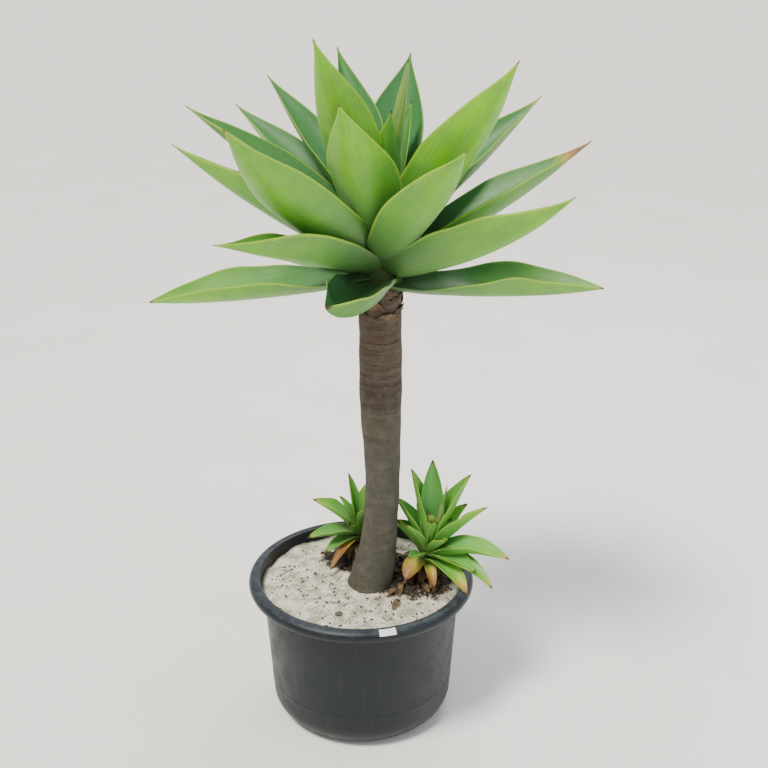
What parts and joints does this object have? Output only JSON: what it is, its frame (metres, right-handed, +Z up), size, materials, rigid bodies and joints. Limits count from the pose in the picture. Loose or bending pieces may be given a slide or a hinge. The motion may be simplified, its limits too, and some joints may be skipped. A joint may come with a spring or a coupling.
{
  "type": "potted agave",
  "caption": "Foxtail agave on one bare ringed trunk, with a wide rosette of broad pointed leaves and young offsets at its foot, in a squat black nursery pot.",
  "frame": {"origin": "centre of the pot's underside, where the pot rests on the ground", "axes": "+Z up along the pot's axis, -Y is the plant's front, +X is to the right when facing it"},
  "size_m": [0.9064, 0.7903, 1.489],
  "materials": {
    "pot": "satin",
    "label": "matte",
    "soil": "matte",
    "sand": "matte",
    "bark": "matte",
    "leaf": "satin",
    "young_leaf": "satin",
    "offset_leaf": "satin"
  },
  "bodies": {
    "root": {"pot": "pot", "plant_label": "label", "potting_soil": "soil", "sand": "sand", "trunk": "bark", "central_spear": "young_leaf", "crown_leaf_01": "leaf", "crown_leaf_02": "leaf", "crown_leaf_03": "leaf", "crown_leaf_04": "leaf", "crown_leaf_05": "leaf", "crown_leaf_06": "leaf", "crown_leaf_07": "leaf", "crown_leaf_08": "leaf", "crown_leaf_09": "leaf", "crown_leaf_10": "leaf", "crown_leaf_11": "leaf", "crown_leaf_12": "leaf", "crown_leaf_13": "leaf", "crown_leaf_14": "leaf", "crown_leaf_15": "leaf", "crown_leaf_16": "leaf", "crown_leaf_17": "leaf", "crown_leaf_18": "leaf", "crown_leaf_19": "leaf", "crown_leaf_20": "leaf", "crown_leaf_21": "leaf", "crown_leaf_22": "leaf", "crown_leaf_23": "leaf", "crown_leaf_24": "leaf", "crown_leaf_25": "leaf", "right_offset_stem": "bark", "right_offset_spear": "young_leaf", "right_offset_leaf_01": "offset_leaf", "right_offset_leaf_02": "offset_leaf", "right_offset_leaf_03": "offset_leaf", "right_offset_leaf_04": "offset_leaf", "right_offset_leaf_05": "offset_leaf", "right_offset_leaf_06": "offset_leaf", "right_offset_leaf_07": "offset_leaf", "right_offset_leaf_08": "offset_leaf", "right_offset_leaf_09": "offset_leaf", "right_offset_leaf_10": "offset_leaf", "right_offset_leaf_11": "offset_leaf", "right_offset_leaf_12": "offset_leaf", "right_offset_leaf_13": "offset_leaf", "right_offset_leaf_14": "offset_leaf", "right_offset_leaf_15": "offset_leaf", "right_offset_leaf_16": "offset_leaf", "left_offset_stem": "bark", "left_offset_leaf_01": "offset_leaf", "left_offset_leaf_02": "offset_leaf", "left_offset_leaf_03": "offset_leaf", "left_offset_leaf_04": "offset_leaf", "left_offset_leaf_05": "offset_leaf", "left_offset_leaf_06": "offset_leaf", "left_offset_leaf_07": "offset_leaf", "left_offset_leaf_08": "offset_leaf"}
  },
  "joints": []
}
